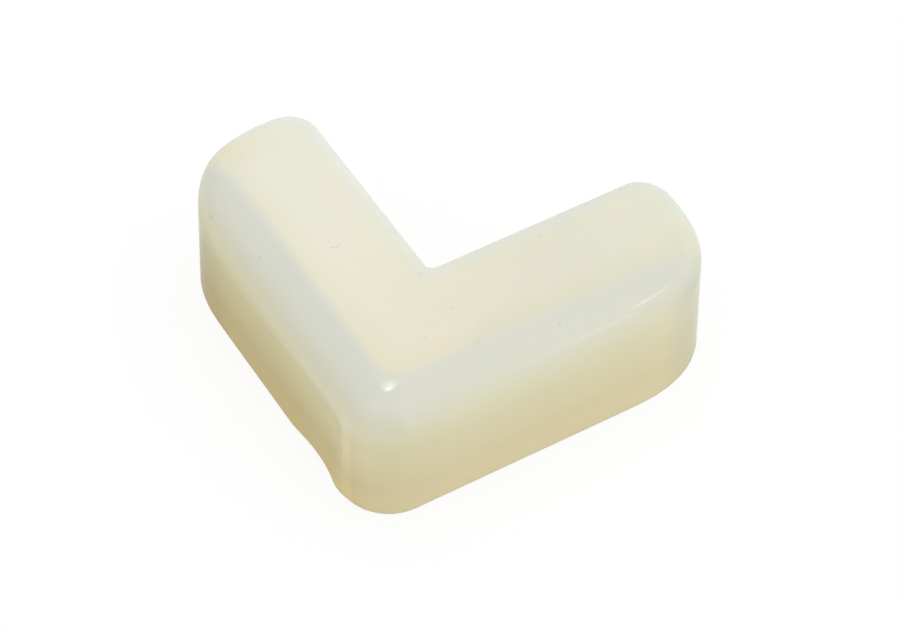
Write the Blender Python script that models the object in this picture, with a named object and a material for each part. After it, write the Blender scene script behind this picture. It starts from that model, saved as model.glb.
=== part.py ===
"""A soft corner guard for a table or shelf top, moulded in one piece.

Metres, +Z up. The guard is an L of two equal arms. Its outer corner points to
-X and -Y, and the arms run from there along +X and +Y. It stands on the feet
of its walls at z = 0, with the origin at the middle of the box round it.

The form is made in two steps. A plan outline is lofted upward, and each of its
stations leans in with its own draft and rounds over with its own radius. Then
the corner of the table top is cut away from below, which leaves a wall down
the table's edge and a thinner top over its surface.
"""

import math
from collections import namedtuple

import bmesh
import bpy

# Overall sizes
ARM_LENGTH = 0.0600
ARM_WIDTH = 0.0231
GUARD_HEIGHT = 0.0191

# Thicknesses
WALL_THICKNESS = 0.0080
TOP_THICKNESS = 0.0040

# Corners seen from above. An arm's free end turns in on its outer side along
# a superellipse, whose fullness is 2 where it is a plain ellipse. A short
# straight stretch joins it to the small round on the inner side.
OUTER_CORNER = 0.0075
INNER_CORNER = 0.0010
END_ALONG = 0.0180
END_FULLNESS = 2.5
END_INNER = 0.0052
END_STRAIGHT = 0.0002

# Edges seen from the side
TOP_ROUND = 0.0060
END_ROUND = 0.0025
INNER_ROUND = 0.0020
FOOT_ROUND = 0.0005
UNDER_ROUND = 0.0008

# Where the top's edge starts and stops easing from one radius to the other,
# as shares of the turn at an arm's end
EASE_START = 0.07
EASE_STOP = 0.67

# Draft that lets the guard leave its mould
WALL_DRAFT = math.radians(2.0)
END_DRAFT = math.radians(1.0)

# The table corner that the guard takes: its upright edge, its upper edges, and
# the lead-in that it meets at the foot of the walls
SEAT_CORNER = 0.0015
SEAT_ROOT = 0.0012
SEAT_LEAD_IN = 0.0004

# Over how far the rounding under the top fades out beside the wall's end
UNDER_FADE = 0.0030

# The hollow in the left wall. Distances are along the wall from the outer
# corner, and heights are above the foot.
HOLLOW_DEPTH = 0.00050
HOLLOW_START = 0.0068
HOLLOW_START_AT_FOOT = 0.0104
HOLLOW_FOOT_HEIGHT = 0.0022
HOLLOW_TOP = 0.0160
HOLLOW_CORNER = 0.0035
HOLLOW_SOFT_SIDE = 0.0016
HOLLOW_SOFT_TOP = 0.0040
HOLLOW_FADE_START = 0.0150
HOLLOW_END_AT_FOOT = 0.0196
HOLLOW_END = 0.0360
HOLLOW_END_HEIGHT = 0.0080

# The small lip that the hollow leaves at the foot, near the outer corner
LIP_OUT = 0.00028
LIP_ALONG = 0.0092
LIP_REACH = 0.0024
LIP_HEIGHT = 0.0018

# Resolution
CORNER_STEPS = 12
END_STEPS = 14
END_INNER_STEPS = 7
INNER_STEPS = 4
FOOT_STEPS = 3
UNDER_STEPS = 3
SEAT_STEPS = 4
SHOULDER_STEPS = 9
NEAR_STEP = 0.0008
FAR_STEP = 0.0030

COLOUR = (0.776, 0.761, 0.611, 1.0)
ROUGHNESS = 0.35

Station = namedtuple("Station", "x y out_x out_y rounding draft under on_left_wall")


def clear_scene():
    """Remove the objects that are already there."""
    for old in list(bpy.data.objects):
        bpy.data.objects.remove(old, do_unlink=True)


def ease(value, start=0.0, stop=1.0):
    """Rise smoothly from 0 at start to 1 at stop."""
    share = min(max((value - start) / (stop - start), 0.0), 1.0)
    return share * share * (3.0 - 2.0 * share)


def blend(first, second, share):
    """Mix two values, the first at 0 and the second at 1."""
    return first + (second - first) * share


def quarter(semi_x, semi_y, fullness, steps):
    """A quarter of a superellipse, from (semi_x, 0) to (0, semi_y)."""
    points = []
    for step in range(steps + 1):
        turn = math.pi / 2 * step / steps
        x = semi_x * max(math.cos(turn), 0.0) ** (2.0 / fullness)
        y = semi_y * math.sin(turn) ** (2.0 / fullness)
        points.append((x, y, step / steps))
    return points


def spread(start, stop, first_step, last_step):
    """Values between start and stop, exclusive, whose spacing grows."""
    values = []
    value = start
    while True:
        share = (value - start) / (stop - start)
        value += blend(first_step, last_step, share)
        if value > stop - first_step / 2:
            return values
        values.append(value)


def outline():
    """The plan outline, counterclockwise, with the outer corner at (0, 0)."""
    wall_draft = math.tan(WALL_DRAFT)
    end_draft = math.tan(END_DRAFT)
    end_across = ARM_WIDTH - END_INNER - END_STRAIGHT
    raw = []

    def add(x, y, rounding, draft, on_left_wall=False):
        beside_wall = min(x, y) - WALL_THICKNESS
        under = UNDER_ROUND * ease(beside_wall, 0.0, UNDER_FADE)
        raw.append((x, y, rounding, draft, under, on_left_wall))

    # The outer corner, from the left wall to the right wall
    for x, y, _ in quarter(OUTER_CORNER, OUTER_CORNER, 2.0, CORNER_STEPS):
        on_left = x > y
        add(OUTER_CORNER - x, OUTER_CORNER - y, TOP_ROUND, wall_draft, on_left)

    # The right arm's end, outer side. The curve is walked from the wall.
    for y, x, share in quarter(end_across, END_ALONG, END_FULLNESS, END_STEPS):
        eased = ease(share, EASE_START, EASE_STOP)
        add(ARM_LENGTH - END_ALONG + x, end_across - y,
            blend(TOP_ROUND, END_ROUND, eased), blend(wall_draft, end_draft, eased))

    # The same end, inner side
    for x, y, share in quarter(END_INNER, END_INNER, 2.0, END_INNER_STEPS):
        eased = ease(share)
        add(ARM_LENGTH - END_INNER + x, ARM_WIDTH - END_INNER + y,
            blend(END_ROUND, INNER_ROUND, eased), blend(end_draft, 0.0, eased))

    # The inner corner, which curves the other way
    for x, y, _ in quarter(INNER_CORNER, INNER_CORNER, 2.0, INNER_STEPS):
        add(ARM_WIDTH + INNER_CORNER - y, ARM_WIDTH + INNER_CORNER - x,
            INNER_ROUND, 0.0)

    # The left arm's end, inner side and then outer side
    for x, y, share in quarter(END_INNER, END_INNER, 2.0, END_INNER_STEPS):
        eased = ease(share)
        add(ARM_WIDTH - END_INNER + x, ARM_LENGTH - END_INNER + y,
            blend(INNER_ROUND, END_ROUND, eased), blend(0.0, end_draft, eased))
    for y, x, share in quarter(END_ALONG, end_across, END_FULLNESS, END_STEPS):
        eased = ease(1.0 - share, EASE_START, EASE_STOP)
        add(end_across - x, ARM_LENGTH - END_ALONG + y,
            blend(TOP_ROUND, END_ROUND, eased), blend(wall_draft, end_draft, eased),
            share == 1.0)

    # The straight left wall, back to the outer corner
    straight = spread(OUTER_CORNER, ARM_LENGTH - END_ALONG, NEAR_STEP, FAR_STEP)
    for y in reversed(straight):
        add(0.0, y, TOP_ROUND, wall_draft, True)

    stations = []
    for number, (x, y, *shape) in enumerate(raw):
        before = raw[number - 1]
        after = raw[(number + 1) % len(raw)]
        along_x = after[0] - before[0]
        along_y = after[1] - before[1]
        length = math.hypot(along_x, along_y)
        stations.append(Station(x, y, along_y / length, -along_x / length, *shape))
    return stations


def heights():
    """Heights of the lofted rings, closer together where the form turns."""
    seat = GUARD_HEIGHT - TOP_THICKNESS
    shoulder = GUARD_HEIGHT - TOP_ROUND
    levels = [FOOT_ROUND * (1.0 - math.cos(math.pi / 2 * step / FOOT_STEPS))
              for step in range(FOOT_STEPS)]
    levels.append(FOOT_ROUND)
    levels.extend(spread(FOOT_ROUND, shoulder, NEAR_STEP, FAR_STEP))
    levels.append(shoulder)
    levels.append((shoulder + seat) / 2)
    for step in range(-1, UNDER_STEPS + 1):
        turn = math.pi / 2 * step / UNDER_STEPS
        levels.append(seat + math.copysign(UNDER_ROUND * (1.0 - math.cos(turn)), step))
    levels.remove(seat)
    for step in range(1, SHOULDER_STEPS + 1):
        turn = math.pi / 2 * step / SHOULDER_STEPS
        height = shoulder + TOP_ROUND * math.sin(turn)
        if height > seat + UNDER_ROUND * 1.25:
            levels.append(height)
    return levels


def inset(station, height):
    """How far a station has moved in from the outline at a height."""
    moved = station.draft * max(height - FOOT_ROUND, 0.0)
    if height < FOOT_ROUND:
        rise = FOOT_ROUND - height
        moved += FOOT_ROUND - math.sqrt(FOOT_ROUND ** 2 - rise ** 2)
    under = GUARD_HEIGHT - TOP_THICKNESS + station.under - height
    if under > 0.0:
        under = min(under, station.under)
        moved += station.under - math.sqrt(station.under ** 2 - under ** 2)
    above = height - (GUARD_HEIGHT - station.rounding)
    if above > 0.0:
        above = min(above, station.rounding)
        moved += station.rounding - math.sqrt(station.rounding ** 2 - above ** 2)
    return moved


def hollow(along, height):
    """Depth of the hollow in the left wall, negative where its lip stands out."""
    start = blend(HOLLOW_START_AT_FOOT, HOLLOW_START,
                  ease(height, 0.0, HOLLOW_FOOT_HEIGHT))
    side = along - start
    under = HOLLOW_TOP - height
    if side <= 0.0 or under <= 0.0:
        depth = 0.0
    else:
        turned_side = max(HOLLOW_CORNER - side, 0.0)
        turned_under = max(HOLLOW_CORNER - under, 0.0)
        if turned_side > 0.0 and turned_under > 0.0:
            inside = HOLLOW_CORNER - math.hypot(turned_side, turned_under)
            soft = blend(HOLLOW_SOFT_SIDE, HOLLOW_SOFT_TOP,
                         turned_under / (turned_side + turned_under))
        elif side < under:
            inside, soft = side, HOLLOW_SOFT_SIDE
        else:
            inside, soft = under, HOLLOW_SOFT_TOP
        end = blend(HOLLOW_END_AT_FOOT, HOLLOW_END,
                    ease(height, 0.0, HOLLOW_END_HEIGHT))
        depth = (HOLLOW_DEPTH * ease(inside, 0.0, soft)
                 * (1.0 - ease(along, HOLLOW_FADE_START, end)))
    away = math.hypot((along - LIP_ALONG) / LIP_REACH, height / LIP_HEIGHT)
    return depth - LIP_OUT * (1.0 - ease(away))


def loft(rings):
    """Join rings of points, from the lowest to the highest, into one closed body."""
    form = bmesh.new()
    made = [[form.verts.new(point) for point in ring] for ring in rings]
    for lower, upper in zip(made, made[1:]):
        for number in range(len(lower)):
            after = (number + 1) % len(lower)
            form.faces.new((lower[number], lower[after], upper[after], upper[number]))
    form.faces.new(list(reversed(made[0])))
    form.faces.new(made[-1])
    return form


def outer_form():
    """The whole guard before its underside is cut."""
    rings = []
    stations = outline()
    for height in heights():
        ring = []
        for station in stations:
            moved = inset(station, height)
            x = station.x - station.out_x * moved
            y = station.y - station.out_y * moved
            if station.on_left_wall:
                x += hollow(station.y, height)
            ring.append((x, y, height))
        rings.append(ring)
    return loft(rings)


def table_corner():
    """The space that the corner of the table top takes, as a cutter."""
    beyond = ARM_LENGTH * 2
    seat = GUARD_HEIGHT - TOP_THICKNESS

    def ring(moved, height):
        """A square whose near corner is rounded, moved inward from the walls."""
        near = WALL_THICKNESS + moved
        round_by = max(SEAT_CORNER - moved, SEAT_CORNER / 2)
        points = [(near + round_by - x, near + round_by - y, height)
                  for x, y, _ in quarter(round_by, round_by, 2.0, SEAT_STEPS)]
        points.append((beyond, near, height))
        points.append((beyond, beyond, height))
        points.append((near, beyond, height))
        return points

    rings = [ring(-2 * SEAT_LEAD_IN, -SEAT_LEAD_IN), ring(0.0, SEAT_LEAD_IN)]
    for step in range(SEAT_STEPS + 1):
        turn = math.pi / 2 * step / SEAT_STEPS
        rings.append(ring(SEAT_ROOT * (1.0 - math.cos(turn)),
                          seat - SEAT_ROOT * (1.0 - math.sin(turn))))
    return loft(rings)


def to_object(form, name):
    """Turn a bmesh into a linked object."""
    mesh = bpy.data.meshes.new(name)
    form.to_mesh(mesh)
    form.free()
    made = bpy.data.objects.new(name, mesh)
    bpy.context.collection.objects.link(made)
    return made


def rubber():
    """Milky, slightly yellow synthetic rubber with a soft sheen."""
    material = bpy.data.materials.new("milky_rubber")
    material.use_nodes = True
    shader = material.node_tree.nodes["Principled BSDF"]
    shader.inputs["Base Color"].default_value = COLOUR
    shader.inputs["Roughness"].default_value = ROUGHNESS
    shader.inputs["Metallic"].default_value = 0.0
    return material


def finish(body, name):
    """Fix the modifiers, move the origin below the middle and smooth the faces."""
    bpy.context.view_layer.update()
    graph = bpy.context.evaluated_depsgraph_get()
    mesh = bpy.data.meshes.new_from_object(body.evaluated_get(graph))
    mesh.name = name
    for axis in range(2):
        places = [vert.co[axis] for vert in mesh.vertices]
        middle = (min(places) + max(places)) / 2
        for vert in mesh.vertices:
            vert.co[axis] -= middle
    body.modifiers.clear()
    body.data = mesh
    mesh.materials.clear()
    mesh.materials.append(rubber())
    mesh.shade_smooth()
    mesh.set_sharp_from_angle(angle=math.radians(35))


def main():
    clear_scene()
    guard = to_object(outer_form(), "corner_guard")

    cutter = to_object(table_corner(), "table_corner")
    cutter.hide_render = True
    cutter.display_type = "WIRE"
    cut = guard.modifiers.new("table_corner", "BOOLEAN")
    cut.operation = "DIFFERENCE"
    cut.solver = "EXACT"
    cut.object = cutter

    finish(guard, "corner_guard")


main()
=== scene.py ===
# %% [markdown]
# # A milky rubber corner guard
#
# This file dresses one small moulded part for its picture: a soft guard that
# sits over the corner of a table top. It is an L of two arms, with a wall down
# the table's edge and a thinner top over its surface.
#
# Every object is in metres. The guard stands on z = 0, its outer corner points
# to -X and -Y, and its arms run from there along +X and +Y.

import math

import bmesh
import bpy
import numpy as np
from mathutils import Matrix, Vector


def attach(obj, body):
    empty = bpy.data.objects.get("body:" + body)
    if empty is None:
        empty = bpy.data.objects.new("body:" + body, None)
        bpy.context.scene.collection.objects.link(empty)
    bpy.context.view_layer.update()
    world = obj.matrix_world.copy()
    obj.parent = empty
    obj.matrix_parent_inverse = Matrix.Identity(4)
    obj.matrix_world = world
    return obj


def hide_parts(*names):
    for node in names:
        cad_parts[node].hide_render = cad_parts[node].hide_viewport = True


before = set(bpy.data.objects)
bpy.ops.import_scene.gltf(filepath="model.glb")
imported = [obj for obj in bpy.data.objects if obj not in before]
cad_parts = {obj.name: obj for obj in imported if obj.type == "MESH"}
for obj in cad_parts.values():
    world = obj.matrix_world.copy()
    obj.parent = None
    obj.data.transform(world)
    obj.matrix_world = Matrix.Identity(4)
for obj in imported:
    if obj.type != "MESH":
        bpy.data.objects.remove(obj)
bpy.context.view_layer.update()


# %% [markdown]
# ## The camera
#
# The camera comes first, because every later choice is judged through it. The
# picture was taken from in front of the outer corner, looking down at about 49
# degrees, through a long lens that keeps the edges nearly parallel.
#
# A camera object looks along its own -Z with +Y upward. So its rotation is a
# matrix whose columns are the directions of right, up and backward.

# %% Place the camera
HEADING = math.radians(59.028)
DOWNWARD = math.radians(48.901)
ROLL = math.radians(-0.400)
DISTANCE = 0.458456
SHIFT_RIGHT = -0.010990
SHIFT_DOWN = 0.029365
FOCAL_PIXELS = 3381.98
PICTURE_WIDTH = 900

# From the guard's outer corner, where its foot's two straight lines would
# meet, to the origin in the middle of its box
CORNER = Vector((-0.029753, -0.029866, 0.0))


def camera_axes():
    """The camera's directions of right, down and forward."""
    forward = Vector((math.cos(DOWNWARD) * math.cos(HEADING),
                      math.cos(DOWNWARD) * math.sin(HEADING),
                      -math.sin(DOWNWARD)))
    level = Vector((math.sin(HEADING), -math.cos(HEADING), 0.0))
    down = forward.cross(level)
    right = math.cos(ROLL) * level + math.sin(ROLL) * down
    down = -math.sin(ROLL) * level + math.cos(ROLL) * down
    return right, down, forward


right, down, forward = camera_axes()
camera_data = bpy.data.cameras.new("camera")
camera_data.sensor_fit = "HORIZONTAL"
camera_data.sensor_width = 36.0
camera_data.lens = FOCAL_PIXELS / PICTURE_WIDTH * camera_data.sensor_width
camera_data.clip_start = 0.01
camera_data.clip_end = 20.0
camera = bpy.data.objects.new("camera", camera_data)
bpy.context.scene.collection.objects.link(camera)
turned = Matrix((right, -down, -forward)).transposed().to_4x4()
stand = CORNER - (SHIFT_RIGHT * right + SHIFT_DOWN * down + DISTANCE * forward)
camera.matrix_world = Matrix.Translation(stand) @ turned
bpy.context.scene.camera = camera
print("camera at", [round(value, 4) for value in stand],
      "with a lens of", round(camera_data.lens, 1), "mm")

# %% [markdown]
# ## A plan outline that knows its own edges
#
# The guard is moulded, and a moulded form is easiest to describe by its outline
# seen from above. Each point of the outline also knows how its edge is made
# there: how far the top rounds over, how much the wall leans in so that the
# part leaves its mould, and whether the hollow of the left wall may touch it.
#
# A free end turns in along a superellipse. That is a circle's formula with
# another exponent than 2, which gives a fuller or a flatter shoulder.

# %% Sizes of the moulded form
ARM_LENGTH = 0.0600
ARM_WIDTH = 0.0231
GUARD_HEIGHT = 0.0191
WALL_THICKNESS = 0.0080
TOP_THICKNESS = 0.0040
SEAT = GUARD_HEIGHT - TOP_THICKNESS

# The exponent 2 makes a superellipse a plain circle or ellipse
ROUND = 2.0
OUTER_CORNER = 0.0075
INNER_CORNER = 0.0010
END_ALONG = 0.0180
END_FULLNESS = 2.5
END_INNER = 0.0052
END_STRAIGHT = 0.0002
END_ACROSS = ARM_WIDTH - END_INNER - END_STRAIGHT

TOP_ROUND = 0.0060
END_ROUND = 0.0025
INNER_ROUND = 0.0020
FOOT_ROUND = 0.0005
UNDER_ROUND = 0.0008
UNDER_FADE = 0.0030
WALL_DRAFT = math.tan(math.radians(2.0))
END_DRAFT = math.tan(math.radians(1.0))

# The share of an arm's end over which its rounding and draft change
END_CHANGE = (0.07, 0.67)

# How finely the outline is drawn, in steps for each quarter and in metres for
# the straight runs. The left wall is finer, because its hollow needs the points.
CORNER_STEPS = 40
END_STEPS = 64
TIP_STEPS = 28
INNER_STEPS = 12
STRAIGHT_STEP = 0.0015
HOLLOW_STEP = 0.0004


def ease(value, start=0.0, stop=1.0):
    """Rise smoothly from 0 at start to 1 at stop."""
    share = min(max((value - start) / (stop - start), 0.0), 1.0)
    return share * share * (3.0 - 2.0 * share)


def quarter(semi_x, semi_y, fullness, steps):
    """A quarter of a superellipse, with the share of the turn at each point."""
    for step in range(steps + 1):
        turn = math.pi / 2 * step / steps
        yield (semi_x * max(math.cos(turn), 0.0) ** (2.0 / fullness),
               semi_y * math.sin(turn) ** (2.0 / fullness),
               step / steps)


print("an arm is", round(ARM_LENGTH / ARM_WIDTH, 2), "times as long as it is wide")


# %% Walk round the plan outline
# The left wall has the outer corner's points up to the first share of its turn,
# and the left end's points from the second share on
LEFT_OF_CORNER = 0.5
LAST_OF_END = 0.9
SAME_PLACE = 1e-6


def plan_outline():
    """Points (x, y, rounding, draft, on the left wall), counterclockwise."""
    points = []

    def add(x, y, rounding, draft, on_left=0.0):
        points.append((x, y, rounding, draft, on_left))

    def blend(first, second, share):
        return first + (second - first) * share

    # The outer corner and the right arm's wall, then the right arm's end
    for x, y, share in quarter(OUTER_CORNER, OUTER_CORNER, ROUND, CORNER_STEPS):
        add(OUTER_CORNER - x, OUTER_CORNER - y, TOP_ROUND, WALL_DRAFT,
            1.0 if share < LEFT_OF_CORNER else 0.0)
    for x in np.arange(OUTER_CORNER + STRAIGHT_STEP, ARM_LENGTH - END_ALONG, STRAIGHT_STEP):
        add(x, 0.0, TOP_ROUND, WALL_DRAFT)
    for y, x, share in quarter(END_ACROSS, END_ALONG, END_FULLNESS, END_STEPS):
        eased = ease(share, *END_CHANGE)
        add(ARM_LENGTH - END_ALONG + x, END_ACROSS - y,
            blend(TOP_ROUND, END_ROUND, eased), blend(WALL_DRAFT, END_DRAFT, eased))
    for x, y, share in quarter(END_INNER, END_INNER, ROUND, TIP_STEPS):
        eased = ease(share)
        add(ARM_LENGTH - END_INNER + x, ARM_WIDTH - END_INNER + y,
            blend(END_ROUND, INNER_ROUND, eased), blend(END_DRAFT, 0.0, eased))

    # The free edges over the table, round the inner corner of the L
    bend = ARM_WIDTH + INNER_CORNER
    for x in np.arange(ARM_LENGTH - END_INNER - STRAIGHT_STEP, bend, -STRAIGHT_STEP):
        add(x, ARM_WIDTH, INNER_ROUND, 0.0)
    for x, y, _ in quarter(INNER_CORNER, INNER_CORNER, ROUND, INNER_STEPS):
        add(bend - y, bend - x, INNER_ROUND, 0.0)
    for y in np.arange(bend + STRAIGHT_STEP, ARM_LENGTH - END_INNER, STRAIGHT_STEP):
        add(ARM_WIDTH, y, INNER_ROUND, 0.0)

    # The left arm's end and its wall, back to the outer corner
    for x, y, share in quarter(END_INNER, END_INNER, ROUND, TIP_STEPS):
        eased = ease(share)
        add(ARM_WIDTH - END_INNER + x, ARM_LENGTH - END_INNER + y,
            blend(INNER_ROUND, END_ROUND, eased), blend(0.0, END_DRAFT, eased))
    for y, x, share in quarter(END_ALONG, END_ACROSS, END_FULLNESS, END_STEPS):
        eased = ease(1.0 - share, *END_CHANGE)
        add(END_ACROSS - x, ARM_LENGTH - END_ALONG + y,
            blend(TOP_ROUND, END_ROUND, eased), blend(WALL_DRAFT, END_DRAFT, eased),
            1.0 if share > LAST_OF_END else 0.0)
    for y in np.arange(ARM_LENGTH - END_ALONG - HOLLOW_STEP, OUTER_CORNER, -HOLLOW_STEP):
        add(0.0, y, TOP_ROUND, WALL_DRAFT, 1.0)

    # Two curves that meet share a point, which is kept once
    kept = [point for point, before in zip(points, points[-1:] + points[:-1])
            if math.dist(point[:2], before[:2]) > SAME_PLACE]
    return np.array(kept)


outline = plan_outline()
print("outline points:", len(outline))

# %% [markdown]
# ## Expressions in place of wires
#
# A node tree is easier to read as a formula. The class below wraps one socket,
# so that `1 - mask` or `height * 2` adds the Math node by itself, also where the
# plain number stands on the left. Every other node comes from `node`, which
# takes the node's type, its settings and what goes into its sockets.

# %% A socket that takes part in formulas
def node(tree, kind, settings=None, inputs=None, output=0):
    """Add a node, set it up, fill its sockets and return one of its outputs."""
    made = tree.nodes.new(kind)
    for name, value in (settings or {}).items():
        if name == "stops":
            ramp = made.color_ramp
            while len(ramp.elements) < len(value):
                ramp.elements.new(1.0)
            for element, (place, colour) in zip(ramp.elements, value):
                element.position = place
                element.color = (*colour, 1.0)
        else:
            setattr(made, name, value)
    for name, value in (inputs or {}).items():
        if isinstance(value, Socket):
            tree.links.new(value.socket, made.inputs[name])
        else:
            made.inputs[name].default_value = value
    return Socket(tree, made.outputs[output])


class Socket:
    """One output socket, with the operators of ordinary arithmetic."""

    def __init__(self, tree, socket):
        self.tree = tree
        self.socket = socket

    def maths(self, operation, *values):
        inputs = dict(enumerate(values))
        return node(self.tree, "ShaderNodeMath", {"operation": operation}, inputs)

    def __add__(self, other):
        return self.maths("ADD", self, other)

    def __radd__(self, other):
        return self.maths("ADD", other, self)

    def __sub__(self, other):
        return self.maths("SUBTRACT", self, other)

    def __rsub__(self, other):
        return self.maths("SUBTRACT", other, self)

    def __mul__(self, other):
        return self.maths("MULTIPLY", self, other)

    def __rmul__(self, other):
        return self.maths("MULTIPLY", other, self)

    def __truediv__(self, other):
        return self.maths("DIVIDE", self, other)

    def at_least(self, other):
        return self.maths("MAXIMUM", self, other)

    def at_most(self, other):
        return self.maths("MINIMUM", self, other)

    def root(self):
        return self.maths("SQRT", self.at_least(0.0))

    def eased(self, start, stop):
        """Rise smoothly from 0 at start to 1 at stop."""
        return node(self.tree, "ShaderNodeMapRange",
                    {"interpolation_type": "SMOOTHSTEP"},
                    {"Value": self, "From Min": start, "From Max": stop})

    def between(self, first, second):
        """Mix two values, the first at 0 and the second at 1."""
        return first + (second - first) * self


# %% [markdown]
# ## From outline to moulded form
#
# First the outline is stacked into a plain prism, ring upon ring, with the
# rings closer together where the form will turn. The prism's points carry what
# the outline knows as named attributes.
#
# Then a Geometry Nodes tree moves every point by one rule: the foot rounds, the
# wall leans in, and the top rounds over by that point's own radius. A modifier
# does this better than fixed numbers would, because a changed radius moves the
# whole form. The left wall also gets its shallow hollow and the small lip that
# the hollow leaves at the foot, where the soft rubber came hot from its mould.

# %% Heights of the rings
FOOT_STEPS = 5
WALL_RINGS = 36
SHOULDER_RINGS = 7
UNDER_STEPS = 6
TOP_STEPS = 40
CLEAR_OF_UNDER = 0.0001


def ring_heights():
    """Heights of the rings above the foot."""
    heights = [FOOT_ROUND * (1.0 - math.cos(math.pi / 2 * step / FOOT_STEPS))
               for step in range(FOOT_STEPS + 1)]
    shoulder = GUARD_HEIGHT - TOP_ROUND
    heights.extend(np.linspace(FOOT_ROUND, shoulder, WALL_RINGS)[1:])
    heights.extend(np.linspace(shoulder, SEAT, SHOULDER_RINGS)[1:-1])

    # One ring just below the seat, and then the rounding under the free edge
    for step in (-1, *range(1, UNDER_STEPS + 1)):
        turn = math.pi / 2 * step / UNDER_STEPS
        heights.append(SEAT + math.copysign(UNDER_ROUND * (1.0 - math.cos(turn)), step))
    for step in range(1, TOP_STEPS + 1):
        height = shoulder + TOP_ROUND * math.sin(math.pi / 2 * step / TOP_STEPS)
        if height > SEAT + UNDER_ROUND + CLEAR_OF_UNDER:
            heights.append(height)
    return heights


heights = ring_heights()
print("rings:", len(heights), "from", heights[0], "to", round(heights[-1], 4))


# %% Stack the outline into a prism
def outward(plan):
    """The outward direction in plan at each point of a closed outline."""
    along = np.roll(plan, -1, axis=0) - np.roll(plan, 1, axis=0)
    away = np.stack([along[:, 1], -along[:, 0]], axis=1)
    return away / np.linalg.norm(away, axis=1)[:, None]


def stack(rings):
    """Join rings of points, from the lowest to the highest, into a closed mesh."""
    form = bmesh.new()
    made = [[form.verts.new(point) for point in ring] for ring in rings]
    for lower, upper in zip(made, made[1:]):
        for number in range(len(lower)):
            after = (number + 1) % len(lower)
            form.faces.new((lower[number], lower[after], upper[after], upper[number]))
    form.faces.new(list(reversed(made[0])))
    form.faces.new(made[-1])
    return form


def into_object(form, name):
    """Turn a bmesh into an object in the scene."""
    mesh = bpy.data.meshes.new(name)
    form.to_mesh(mesh)
    form.free()
    made = bpy.data.objects.new(name, mesh)
    bpy.context.scene.collection.objects.link(made)
    return made


plan = outline[:, :2] + np.array(CORNER[:2])
guard = into_object(stack([[(x, y, height) for x, y in plan] for height in heights]),
                    "milky_guard")

away = outward(plan)
beside_wall = np.minimum(outline[:, 0], outline[:, 1]) - WALL_THICKNESS
under = np.array([UNDER_ROUND * ease(value, 0.0, UNDER_FADE) for value in beside_wall])
knows = {"away_x": away[:, 0], "away_y": away[:, 1], "rounding": outline[:, 2],
         "draft": outline[:, 3], "on_left": outline[:, 4], "under": under}
for name, values in knows.items():
    stored = guard.data.attributes.new(name, "FLOAT", "POINT")
    stored.data.foreach_set("value", np.tile(values, len(heights)).astype(np.float32))
print("prism of", len(heights), "rings of", len(plan), "points")

# %% [markdown]
# ## The rule of the form, as a node tree
#
# The tree's inputs are the sizes that a mould maker would change. A quarter
# circle in section is `radius - sqrt(radius² - rise²)`, and that one expression
# gives the foot, the rounding under the top's free edge and the top's own
# rounding.

# %% Steps of the rule
def named(tree, name):
    """Read a number that the mesh's points carry."""
    return node(tree, "GeometryNodeInputNamedAttribute", {"data_type": "FLOAT"},
                {"Name": name})


def rounded(radius, rise):
    """How far a quarter circle has moved in where it has risen so far."""
    rise = rise.at_least(0.0).at_most(radius)
    return radius - (radius * radius - rise * rise).root()


def length_of(first, second):
    """Length of a plan vector, from its two parts."""
    return (first * first + second * second).root()


def inset_from(x, y, bend):
    """Distance in from two faces at a right angle that meet in a rounded corner."""
    turned = length_of((bend - x).at_least(0.0), (bend - y).at_least(0.0))
    return bend - turned + (x.at_most(y) - bend).at_least(0.0)


# %% [markdown]
# ## The hollow in the left wall
#
# The left wall has sunk by half a millimetre along part of its length, as soft
# rubber can when it leaves a hot mould, and a small lip stands out beside the
# sunk place at the foot. It could be sculpted, but a formula keeps its edges soft
# and even: the distance inside two edges that meet in a rounded corner, eased
# over the edges' width.

# %% The hollow and its lip
HOLLOW_DEPTH = 0.00048
HOLLOW_CORNER = 0.0045
LIP = 0.00026

# Places along the wall from the outer corner, and widths. Where a pair is given,
# the first holds at the foot and the second from the height after it.
HOLLOW_START = (0.0090, 0.0068)
START_HEIGHT = 0.0022
HOLLOW_EDGE = (0.0056, 0.0034)
EDGE_HEIGHT = 0.0035
HOLLOW_END = (0.0222, 0.0360)
END_HEIGHT = 0.0080
HOLLOW_CEILING = 0.0160
FADE_START = 0.0160
LIP_PLACE = 0.0085
LIP_ALONG = 0.0030
LIP_UP = 0.0018


def hollow_depth(size, along, height):
    """Depth of the hollow in the left wall, negative where its lip stands out."""
    start = height.eased(0.0, START_HEIGHT).between(*HOLLOW_START)
    inside = inset_from(along - start, HOLLOW_CEILING - height, size["Hollow corner"])
    edge = height.eased(0.0, EDGE_HEIGHT).between(*HOLLOW_EDGE)
    end = height.eased(0.0, END_HEIGHT).between(*HOLLOW_END)
    sunk = (size["Hollow depth"] * inside.eased(0.0, edge)
            * (1.0 - along.eased(FADE_START, end)))
    reach = length_of((along - LIP_PLACE) / LIP_ALONG, height / LIP_UP)
    return sunk - size["Lip"] * (1.0 - reach.eased(0.0, 1.0))


print("depth of the hollow and height of its lip:", HOLLOW_DEPTH, LIP)


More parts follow.
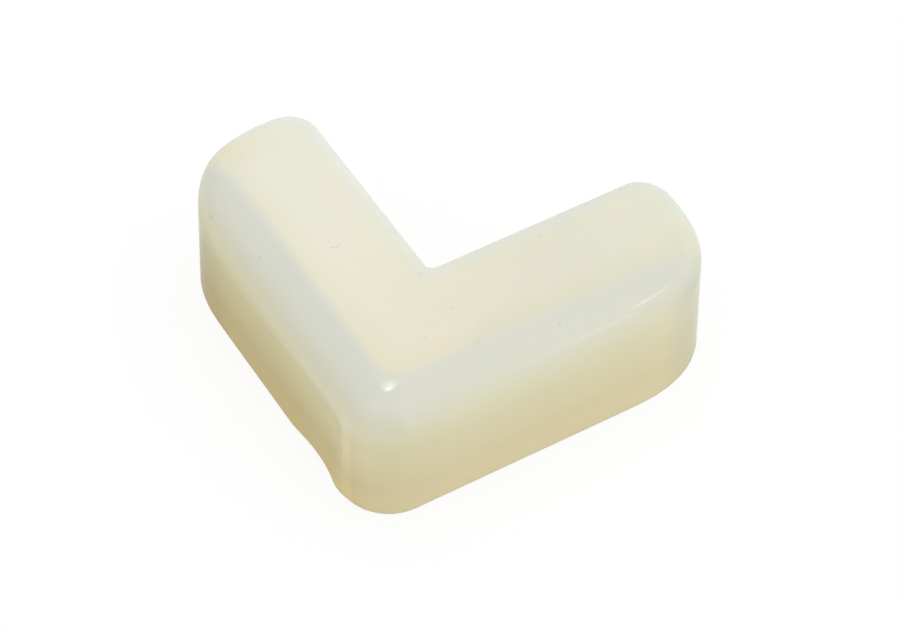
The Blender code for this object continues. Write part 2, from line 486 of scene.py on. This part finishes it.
# %% Build the tree
def moulding_rule():
    """The node tree that gives the prism its moulded form."""
    tree = bpy.data.node_groups.new("moulded form", "GeometryNodeTree")
    face = tree.interface
    face.new_socket("Geometry", in_out="INPUT", socket_type="NodeSocketGeometry")
    sizes = {"Height": GUARD_HEIGHT, "Seat": SEAT, "Foot rounding": FOOT_ROUND,
             "Hollow depth": HOLLOW_DEPTH, "Hollow corner": HOLLOW_CORNER, "Lip": LIP}
    for name, value in sizes.items():
        made = face.new_socket(name, in_out="INPUT", socket_type="NodeSocketFloat")
        made.default_value = value
    face.new_socket("Rubber", in_out="INPUT", socket_type="NodeSocketMaterial")
    face.new_socket("Geometry", in_out="OUTPUT", socket_type="NodeSocketGeometry")

    entry = tree.nodes.new("NodeGroupInput")
    size = {item.name: Socket(tree, item) for item in entry.outputs if item.name}
    place = node(tree, "GeometryNodeInputPosition")
    split = tree.nodes.new("ShaderNodeSeparateXYZ")
    tree.links.new(place.socket, split.inputs[0])
    along = Socket(tree, split.outputs["Y"]) - CORNER.y
    height = Socket(tree, split.outputs["Z"])

    lean = (height - size["Foot rounding"]).at_least(0.0)
    moved = (named(tree, "draft") * lean
             + rounded(size["Foot rounding"], size["Foot rounding"] - height)
             + rounded(named(tree, "under"), size["Seat"] + named(tree, "under") - height)
             + rounded(named(tree, "rounding"),
                       height - size["Height"] + named(tree, "rounding")))
    sunk = named(tree, "on_left") * hollow_depth(size, along, height)
    offset = node(tree, "ShaderNodeCombineXYZ", None,
                  {"X": sunk - named(tree, "away_x") * moved,
                   "Y": -1.0 * named(tree, "away_y") * moved})

    shaped = node(tree, "GeometryNodeSetPosition", None,
                  {"Geometry": size["Geometry"], "Offset": offset})
    solid = node(tree, "GeometryNodeRealizeInstances", None, {"Geometry": shaped})
    dressed = node(tree, "GeometryNodeSetMaterial", None,
                   {"Geometry": solid, "Material": size["Rubber"]})
    leave = tree.nodes.new("NodeGroupOutput")
    tree.links.new(dressed.socket, leave.inputs[0])
    return tree


def give_rule(piece, tree, **values):
    """Add the tree as a modifier and set its inputs by their identifiers."""
    modifier = piece.modifiers.new(tree.name, "NODES")
    modifier.node_group = tree
    for item in tree.interface.items_tree:
        if item.in_out == "INPUT" and item.name in values:
            modifier[item.identifier] = values[item.name]


rubber = bpy.data.materials.new("milky rubber")
rule = moulding_rule()
give_rule(guard, rule, Rubber=rubber)
print("nodes in the rule:", len(rule.nodes))

# %% [markdown]
# ## Cutting the table's corner away
#
# The underside is made as the real space is: the shape of a table corner is
# taken away from below. What the guard loses there is what the table fills. The
# cutter's own edges are slightly rounded, so the guard's inner corners come out
# rounded too, which keeps soft rubber from tearing.

# %% The table corner as a cutter
CUTTER_BEND = 0.0015
LEAST_BEND = 0.00075
CUTTER_FLARE = 0.0004
CUTTER_ROUND = 0.0012
CUTTER_STEPS = 10
BEYOND = ARM_LENGTH * 2


def table_corner():
    """A rounded block with the near corner of the table top."""

    def ring(moved, height):
        near = WALL_THICKNESS + moved
        bend = max(CUTTER_BEND - moved, LEAST_BEND)
        points = [(near + bend - x, near + bend - y)
                  for x, y, _ in quarter(bend, bend, ROUND, CUTTER_STEPS)]
        points.extend([(BEYOND, near), (BEYOND, BEYOND), (near, BEYOND)])
        return [(x + CORNER.x, y + CORNER.y, height) for x, y in points]

    rings = [ring(-2 * CUTTER_FLARE, -CUTTER_FLARE), ring(0.0, CUTTER_FLARE)]
    for step in range(CUTTER_STEPS + 1):
        turn = math.pi / 2 * step / CUTTER_STEPS
        rings.append(ring(CUTTER_ROUND * (1.0 - math.cos(turn)),
                          SEAT - CUTTER_ROUND * (1.0 - math.sin(turn))))
    return into_object(stack(rings), "table_corner")


def settle(piece, helper):
    """Fix the piece's modifiers into its mesh and remove the helper."""
    bpy.context.view_layer.update()
    graph = bpy.context.evaluated_depsgraph_get()
    mesh = bpy.data.meshes.new_from_object(piece.evaluated_get(graph))
    piece.modifiers.clear()
    piece.data = mesh
    bpy.data.objects.remove(helper, do_unlink=True)


cutter = table_corner()
cut = guard.modifiers.new("table corner", "BOOLEAN")
cut.operation = "DIFFERENCE"
cut.solver = "EXACT"
cut.object = cutter
settle(guard, cutter)
print("guard:", len(guard.data.vertices), "points,", len(guard.data.polygons), "faces")


# %% [markdown]
# ## Smooth shading
#
# A moulded surface shows no facets, so its faces are shaded smooth. A large flat
# face suffers from that beside a rounding, because the shading leaks into it. A
# narrow border round the flat top keeps the leak small, and edges that turn by
# more than 35 degrees stay sharp.
#
# The guard then takes the place of the solid part's node, rides on its body and
# carries one finish.

# %% Keep the flat top flat and the rest smooth
TOP_BORDER = 0.0004
LEVEL = 0.9999
SHARPEST_SMOOTH = math.radians(35)


def flatten_top(piece):
    """Give the flat top a narrow border, so that its shading stays level."""
    form = bmesh.new()
    form.from_mesh(piece.data)
    tops = [face for face in form.faces
            if face.normal.z > LEVEL
            and face.calc_center_median().z > GUARD_HEIGHT - SAME_PLACE]
    bmesh.ops.inset_region(form, faces=tops, thickness=TOP_BORDER, use_even_offset=True)
    form.to_mesh(piece.data)
    form.free()


flatten_top(guard)
guard.data.shade_smooth()
guard.data.set_sharp_from_angle(angle=SHARPEST_SMOOTH)
for name in knows:
    guard.data.attributes.remove(guard.data.attributes[name])
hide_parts("corner_guard")
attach(guard, "root")
print("materials on the guard:", [slot.name for slot in guard.data.materials])

# %% [markdown]
# ## Light and background
#
# The object lies in plain, soft studio light. A pale surround lights it from all
# sides. The white background is a colour that only the camera sees, so it adds no
# light to the object. Metal or clear glass would have to show that background
# too, but the guard has neither, and its small highlights stand out better
# against the dimmer surround.

# %% The surround
SURROUND_LIGHT = 0.55
WHITE = (1.0, 1.0, 1.0, 1.0)


def surround():
    """A surround that lights the guard and looks white to the camera."""
    world = bpy.data.worlds.new("surround")
    world.use_nodes = True
    tree = world.node_tree
    tree.nodes.clear()
    path = tree.nodes.new("ShaderNodeLightPath")
    seen = Socket(tree, path.outputs["Is Camera Ray"])
    back = node(tree, "ShaderNodeBackground", None,
                {"Color": WHITE, "Strength": seen.between(SURROUND_LIGHT, 1.0)})
    leave = tree.nodes.new("ShaderNodeOutputWorld")
    tree.links.new(back.socket, leave.inputs["Surface"])
    return world


bpy.context.scene.world = surround()
print("the surround gives light at", SURROUND_LIGHT, "of white")

# %% [markdown]
# ## The floor
#
# The floor is a matt, pale sheet that takes the guard's shadow. For the camera
# alone a share of it glows white, which leaves only a faint shadow at the foot,
# as a real white sweep does when it has its own light.

# %% The floor
FLOOR_GREY = (0.9, 0.9, 0.9, 1.0)
FLOOR_GLOW = 1.03
GLOW_SHARE = 0.85
HALF_FLOOR = 1.5


def floor_finish():
    """A matt sheet that the camera sees as nearly white."""
    material = bpy.data.materials.new("white floor")
    material.use_nodes = True
    tree = material.node_tree
    tree.nodes.clear()
    path = tree.nodes.new("ShaderNodeLightPath")
    seen = Socket(tree, path.outputs["Is Camera Ray"])
    matt = node(tree, "ShaderNodeBsdfDiffuse", None, {"Color": FLOOR_GREY})
    shine = node(tree, "ShaderNodeEmission", None, {"Color": WHITE, "Strength": FLOOR_GLOW})
    both = node(tree, "ShaderNodeMixShader", None,
                {0: seen * GLOW_SHARE, 1: matt, 2: shine})
    leave = tree.nodes.new("ShaderNodeOutputMaterial")
    tree.links.new(both.socket, leave.inputs["Surface"])
    return material


def floor_plane():
    """A flat sheet at z = 0."""
    form = bmesh.new()
    bmesh.ops.create_grid(form, x_segments=1, y_segments=1, size=HALF_FLOOR)
    made = into_object(form, "floor")
    made.data.materials.append(floor_finish())
    return made


floor = floor_plane()
print("the floor is", 2 * HALF_FLOOR, "m wide")

# %% [markdown]
# ## The lamps
#
# Rubber with a soft sheen mirrors its surroundings dimly. A large lamp that is
# about as bright as the surround lights the guard from its side without showing
# as a patch in that mirror, so five of them shape the walls and the top. A small
# lamp has to be much brighter for the same light, and then it does show. One
# such lamp behind the guard makes the white spot on the corner, and two weak
# ones in front make the short streak at the right end and the thin line along
# the right wall's rounding.

# %% The lamps
AIMED_AT = Vector((0.0, 0.0, 0.01))

# For each lamp, the direction from the guard, the distance, the side and the power
LAMPS = {
    "back": ((0.212, 0.432, 0.876), 0.8, 0.04, 0.18),
    "front right": ((0.460, -0.540, 0.705), 0.8, 0.05, 0.045),
    "low front right": ((0.375, -0.740, 0.560), 0.8, 0.07, 0.030),
    "right side": ((0.65, -0.70, 0.45), 1.6, 2.0, 7.2),
    "left side": ((-0.80, -0.20, 0.55), 1.6, 2.0, 4.7),
    "overhead": ((0.1, 0.2, 1.0), 1.6, 2.0, 6.2),
    "right back": ((0.85, 0.30, 0.43), 1.6, 1.6, 3.6),
    "left back": ((0.15, 0.90, 0.41), 1.6, 1.6, 3.6),
}


def lamp(name, towards, distance, side, power):
    """A square lamp in a direction from the guard, turned to face it."""
    data = bpy.data.lights.new(name, "AREA")
    data.shape = "RECTANGLE"
    data.size = side
    data.size_y = side
    data.energy = power
    made = bpy.data.objects.new(name, data)
    bpy.context.scene.collection.objects.link(made)
    direction = Vector(towards).normalized()
    made.location = direction * distance + AIMED_AT
    made.rotation_euler = direction.to_track_quat("Z", "Y").to_euler()
    made.visible_camera = False


for name, settings in LAMPS.items():
    lamp(name, *settings)
print("lamps:", ", ".join(LAMPS))

# %% [markdown]
# ## The milky rubber
#
# Soft rubber of this kind lets light in and scatters it. Where it is thick, over
# the wall, the light comes back cool and bluish. Where it is thin, over the
# table, it comes back warm, and low on the wall it turns the colour of straw.
# Real scattering would find these colours by itself only at a great cost, so
# the finish writes them down by place and leaves the softness to a little
# subsurface scattering.
#
# The place comes from Object coordinates, counted in millimetres from the outer
# corner. `inset` is the distance in from the two outer faces, with the rounded
# corner taken into account, and `across` is negative on the left arm and
# positive on the right one.

# %% Where a point lies
MM_IN_M = 1000.0


def millimetres(tree):
    """Coordinates in millimetres from the outer corner of the foot."""
    coordinates = node(tree, "ShaderNodeTexCoord", output="Object")
    split = tree.nodes.new("ShaderNodeSeparateXYZ")
    tree.links.new(coordinates.socket, split.inputs[0])
    x, y, z = (Socket(tree, output) for output in split.outputs)
    return coordinates, (x - CORNER.x) * MM_IN_M, (y - CORNER.y) * MM_IN_M, z * MM_IN_M


# %% Helpers for colours
def ramp(tree, value, first, last, colours):
    """Blend between colours that are given at places from first to last."""
    stops = [((place - first) / (last - first), colour) for place, colour in colours]
    return node(tree, "ShaderNodeValToRGB", {"stops": stops},
                {"Fac": (value - first) / (last - first)})


def mixed(tree, share, first, second):
    """Mix two colours, the first at 0 and the second at 1."""
    # Among its sockets the Mix node counts the two colours as 6 and 7
    return node(tree, "ShaderNodeMix", {"data_type": "RGBA"},
                {0: share, 6: first, 7: second}, output=2)


def shaded(tree, colour, shade, share):
    """Multiply a colour by a shade, as far as the share says."""
    change = tuple(part - 1.0 for part in shade)
    factor = node(tree, "ShaderNodeVectorMath", {"operation": "MULTIPLY_ADD"},
                  {0: share, 1: change, 2: (1.0, 1.0, 1.0)})
    return node(tree, "ShaderNodeVectorMath", {"operation": "MULTIPLY"},
                {0: colour, 1: factor})


# %% [markdown]
# ## The walls
#
# A wall goes from straw at its foot to cool milk at the shoulder, and the left
# wall, turned away from the light, is darker than the right one. Two ramps over
# the height hold those colours, and they blend round the outer corner.
#
# A shade then multiplies the colour at one place. Painted light brightens the walls
# towards the thick corner and beside and along the crest of the soft ridge by the hollow,
# painted shade darkens the wall just right of the corner, and painted shade dulls the
# walls where they turn away at the arms' ends. Small steps like these keep the finish
# readable: each can be changed or left out by itself.

# %% Colours of the walls
WALL_RANGE = (0.0, 20.0)
RIGHT_WALL = [(0.8, (0.840, 0.740, 0.455)), (5.0, (0.770, 0.685, 0.430)),
              (13.0, (0.787, 0.740, 0.490)), (15.2, (0.783, 0.760, 0.550)),
              (18.4, (0.750, 0.757, 0.650)), (19.1, (0.725, 0.732, 0.630))]
LEFT_WALL = [(0.8, (0.685, 0.545, 0.238)), (5.0, (0.605, 0.493, 0.214)),
             (13.0, (0.658, 0.602, 0.318)), (15.2, (0.733, 0.703, 0.480)),
             (18.4, (0.745, 0.753, 0.645)), (19.1, (0.695, 0.702, 0.618))]
ROUND_THE_CORNER = (-6.0, 6.0)

# Each shade is painted light or painted shade. It rises over the first range of places
# along the wall, from the left arm's end round the corner to the right arm's end, falls
# over the second, and fades out over the third, a range of heights.
WALL_SHADES = {
    "painted light towards the corner":
        ((1.08, 1.11, 1.19), (-36.0, -9.0), (-2.0, 5.0), (11.0, 17.5)),
    "painted light beside the ridge":
        ((1.06, 1.06, 1.15), (-12.0, -5.5), (-4.0, 1.0), (11.0, 17.5)),
    "painted light on the ridge's crest":
        ((1.10, 1.08, 1.09), (-8.0, -6.8), (-6.0, -4.4), (11.0, 17.5)),
    "painted shade beside the corner":
        ((0.97, 0.96, 0.94), (-2.0, 4.0), (7.0, 14.0), (14.0, 19.1)),
}

# Painted shade where the walls turn away at the arms' ends: the shade, its places
# along the wall and its heights. Both shades fade out over TURN_DEPTH, counted in
# from the wall's face.
LEFT_TURN_PAINTED_SHADE = ((0.77, 0.76, 0.66), (-37.0, -50.0), (11.0, 17.0))
RIGHT_TURN_PAINTED_SHADE = ((0.72, 0.79, 0.86), (46.0, 54.0), (16.0, 19.0))
TURN_DEPTH = (2.0, 9.0)


def wall_colour(tree, x, y, z):
    """Straw low on the walls, cool at the shoulder."""
    across = x - y
    colour = mixed(tree, across.eased(*ROUND_THE_CORNER),
                   ramp(tree, z, *WALL_RANGE, LEFT_WALL),
                   ramp(tree, z, *WALL_RANGE, RIGHT_WALL))
    # Painted light and painted shade at single places along the walls
    for shade, rise, fall, fade in WALL_SHADES.values():
        share = across.eased(*rise) * (1.0 - across.eased(*fall)) * (1.0 - z.eased(*fade))
        colour = shaded(tree, colour, shade, share)
    # Painted shade where the walls turn away at the arms' ends
    for (shade, rise, fade), depth in ((LEFT_TURN_PAINTED_SHADE, x), (RIGHT_TURN_PAINTED_SHADE, y)):
        share = (across.eased(*rise) * (1.0 - z.eased(*fade))
                 * (1.0 - depth.eased(*TURN_DEPTH)))
        colour = shaded(tree, colour, shade, share)
    return colour


print("shades on the walls:", ", ".join(WALL_SHADES))

# %% [markdown]
# ## The top
#
# Over the table the rubber is thin and looks like warm cream, a little darker on
# the right arm. Its colours follow a ramp from one arm's end to the other. The
# border towards the wall, the thin free edges, the left end and the patch over
# the thick corner each get a faint shade.

# %% Colours of the top
TOP_RANGE = (-50.0, 50.0)
TOP = [(-45.0, (0.815, 0.805, 0.680)), (-20.0, (0.826, 0.808, 0.662)),
       (0.0, (0.812, 0.778, 0.620)), (20.0, (0.775, 0.760, 0.612)),
       (45.0, (0.780, 0.770, 0.622))]

EDGE_SHADE = (0.970, 0.965, 0.925)
EDGE_INSET = (8.0, 13.0)

# Two shades, one after the other, towards the free edges. Their ranges count from
# RIM_NEAR across an arm and from RIM_FAR along it.
RIM_SHADES = [((0.96, 1.00, 1.06), (1.4, 3.2)), ((0.99, 0.98, 1.02), (3.2, 4.6))]
RIM_NEAR = 17.9
RIM_FAR = 54.8
RIM_OF_END = (8.0, 15.0)

LEFT_END_SHADE = (0.975, 0.955, 0.890)
LEFT_END_PLACE = (50.0, 57.0)
LEFT_END_FADE = (10.0, 20.0)

CORNER_PATCH_SHADE = (1.035, 1.015, 1.020)
PATCH_RISE = (0.0, 8.0)
PATCH_FALL = (10.0, 15.0)
PATCH_INSET = (10.5, 14.0)


def top_colour(tree, x, y, inset):
    """Warm cream over the table, cooler and lighter at the thin free edges."""
    across = x - y
    near = x.at_most(y)
    far = x.at_least(y)
    colour = ramp(tree, across, *TOP_RANGE, TOP)
    colour = shaded(tree, colour, EDGE_SHADE, 1.0 - inset.eased(*EDGE_INSET))
    to_rim = length_of((near - RIM_NEAR).at_least(0.0),
                       (far - RIM_FAR).at_least(0.0) * near.eased(*RIM_OF_END))
    for shade, rise in RIM_SHADES:
        colour = shaded(tree, colour, shade, to_rim.eased(*rise))
    left_end = y.eased(*LEFT_END_PLACE) * (1.0 - near.eased(*LEFT_END_FADE))
    colour = shaded(tree, colour, LEFT_END_SHADE, left_end)
    patch = (across.eased(*PATCH_RISE) * (1.0 - across.eased(*PATCH_FALL))
             * (1.0 - near.eased(*PATCH_INSET)))
    return shaded(tree, colour, CORNER_PATCH_SHADE, patch)


print("colours along the top:", len(TOP))

# %% [markdown]
# ## Small dark marks
#
# The guard has a few specks, and one mark like a small wedge on the left arm's
# top. They are no deeper than dirt, so they are spots of lost light in the
# colour: each is a soft ball at its place, and the wedge is three flat ones that
# overlap. One spot, by the inner corner of the L, is painted shade, not a speck.

# %% The marks
# For each mark, the place, the half widths along x, y and z, and the light lost
MARKS = {
    "wedge on the left arm": ((13.1, 32.5, 19.1), (0.42, 0.34, 1.0), 0.13),
    "middle of the wedge": ((13.6, 32.2, 19.1), (0.42, 0.34, 1.0), 0.10),
    "tail of the wedge": ((14.2, 32.4, 19.1), (0.55, 0.35, 1.0), 0.05),
    "top, left arm's shoulder": ((3.8, 36.5, 18.4), (0.45, 0.45, 0.45), 0.07),
    "left wall, high up": ((2.2, 48.0, 16.8), (0.5, 0.5, 0.5), 0.10),
    # A spot of painted shade beside the inner corner of the L
    "painted shade by the corner of the L": ((21.0, 22.3, 19.1), (0.45, 0.45, 0.45), 0.07),
    "top, above the thick corner": ((15.8, 11.9, 19.1), (0.40, 0.40, 0.40), 0.06),
    "top, near the right arm": ((21.5, 7.6, 19.1), (0.45, 0.45, 0.45), 0.07),
    "top, beside it": ((21.7, 14.5, 19.1), (0.40, 0.40, 0.40), 0.06),
    "right arm's shoulder": ((32.9, 5.0, 18.9), (0.45, 0.45, 0.45), 0.07),
    "right arm, towards the rim": ((39.0, 19.9, 19.1), (0.40, 0.40, 0.40), 0.06),
    "right arm, at the end": ((48.1, 11.7, 19.1), (0.40, 0.40, 0.40), 0.05),
    "foot of the right wall": ((19.2, 0.0, 1.6), (0.45, 0.45, 0.45), 0.07),
}
MARK_EDGE = (0.3, 1.0)


def marks(tree, x, y, z):
    """The light that the small dark marks and one spot of painted shade leave."""
    place = node(tree, "ShaderNodeCombineXYZ", None, {"X": x, "Y": y, "Z": z})
    left = 1.0
    for centre, half_widths, loss in MARKS.values():
        away = node(tree, "ShaderNodeVectorMath", {"operation": "SUBTRACT"},
                    {0: place, 1: centre})
        away = node(tree, "ShaderNodeVectorMath", {"operation": "DIVIDE"},
                    {0: away, 1: half_widths})
        distance = node(tree, "ShaderNodeVectorMath", {"operation": "LENGTH"},
                        {0: away}, output=1)
        left = left * (1.0 - loss * (1.0 - distance.eased(*MARK_EDGE)))
    return left


print("spots in the colour:", len(MARKS))

# %% [markdown]
# ## One finish from all of it
#
# The top's colours take over from the walls' where the rubber turns thin, a few
# millimetres in from the outer faces and only near the top's height. Faint clouds
# over everything keep the rubber from looking like paint.
#
# A fine grain breaks the sheen. The last step is a very low crown in the normal,
# where the top's flat meets the rounding: it tips the surface enough to catch the
# back lamp, which gives the white spot on the corner.

# %% The whole colour
TABLE_BEND = 11.0
OVER_TABLE = (6.6, 8.8)
TOP_HEIGHT = (17.8, 18.9)
AT_THE_END = (50.0, 58.0)
DRAWN_OUT = 2.0
# Painted shade on the top's rounding at the arms' ends, where it turns away
END_EDGE_PAINTED_SHADE = (0.955, 0.960, 0.950)
END_EDGE_PLACE = (50.0, 57.0)
END_EDGE_HEIGHT = (16.0, 18.5)
END_EDGE_INSET = (5.0, 7.0)
CLOUD_SCALE = 90.0
CLOUD_DETAIL = 2.0
DARKEST_CLOUD = 0.983
CLOUD_RANGE = 0.03


def noise(tree, coordinates, scale, detail):
    """A cloudy value between 0 and 1."""
    return node(tree, "ShaderNodeTexNoise", None,
                {"Vector": coordinates, "Scale": scale, "Detail": detail, "Roughness": 0.5})


def rubber_colour(tree, coordinates, x, y, z):
    """The colour by place, with faint clouds in it."""
    inset = inset_from(x, y, TABLE_BEND)
    far = x.at_least(y)
    over_table = ((inset + DRAWN_OUT * far.eased(*AT_THE_END)).eased(*OVER_TABLE)
                  * z.eased(*TOP_HEIGHT))
    colour = mixed(tree, over_table, wall_colour(tree, x, y, z),
                   top_colour(tree, x, y, inset))
    # Painted shade where the rounding turns away at the arms' ends
    end_edge_shade = (far.eased(*END_EDGE_PLACE) * z.eased(*END_EDGE_HEIGHT)
                * (1.0 - inset.eased(*END_EDGE_INSET)))
    colour = shaded(tree, colour, END_EDGE_PAINTED_SHADE, end_edge_shade)
    clouds = noise(tree, coordinates, CLOUD_SCALE, CLOUD_DETAIL)
    light = (DARKEST_CLOUD + CLOUD_RANGE * clouds) * marks(tree, x, y, z)
    return node(tree, "ShaderNodeVectorMath", {"operation": "SCALE"},
                {0: colour, "Scale": light})


# %% Build the rubber
GRAIN_SCALE = 350.0
GRAIN_DETAIL = 3.0
SMOOTHEST = 0.12
ROUGHNESS_RANGE = 0.05
GRAIN_HEIGHT = 0.03
CROWN_HEIGHT = 0.12
CROWN_BEND = 9.0
CROWN_INSET = (5.0, 8.2)
BUMP_SCALE = 0.001
SCATTERED = 0.3
SCATTER_RADIUS = (1.0, 0.85, 0.6)
SCATTER_SCALE = 0.003


def build_rubber(material):
    """Give the material its colour by place, its sheen and its softness."""
    material.use_nodes = True
    tree = material.node_tree
    shader = tree.nodes["Principled BSDF"]
    coordinates, x, y, z = millimetres(tree)
    colour = rubber_colour(tree, coordinates, x, y, z)
    tree.links.new(colour.socket, shader.inputs["Base Color"])
    grain = noise(tree, coordinates, GRAIN_SCALE, GRAIN_DETAIL)
    roughness = SMOOTHEST + ROUGHNESS_RANGE * grain
    tree.links.new(roughness.socket, shader.inputs["Roughness"])
    crown = CROWN_HEIGHT * inset_from(x, y, CROWN_BEND).eased(*CROWN_INSET)
    uneven = node(tree, "ShaderNodeBump", None,
                  {"Strength": 1.0, "Distance": BUMP_SCALE,
                   "Height": GRAIN_HEIGHT * grain + crown})
    tree.links.new(uneven.socket, shader.inputs["Normal"])
    shader.inputs["Subsurface Weight"].default_value = SCATTERED
    shader.inputs["Subsurface Radius"].default_value = SCATTER_RADIUS
    shader.inputs["Subsurface Scale"].default_value = SCATTER_SCALE
    print("nodes in the rubber:", len(tree.nodes))


build_rubber(rubber)

# %% [markdown]
# ## Close the scene
#
# The last cell sets the view transform to Standard and updates the view layer.

# %% View settings and end
bpy.context.scene.view_settings.view_transform = "Standard"
bpy.context.view_layer.update()
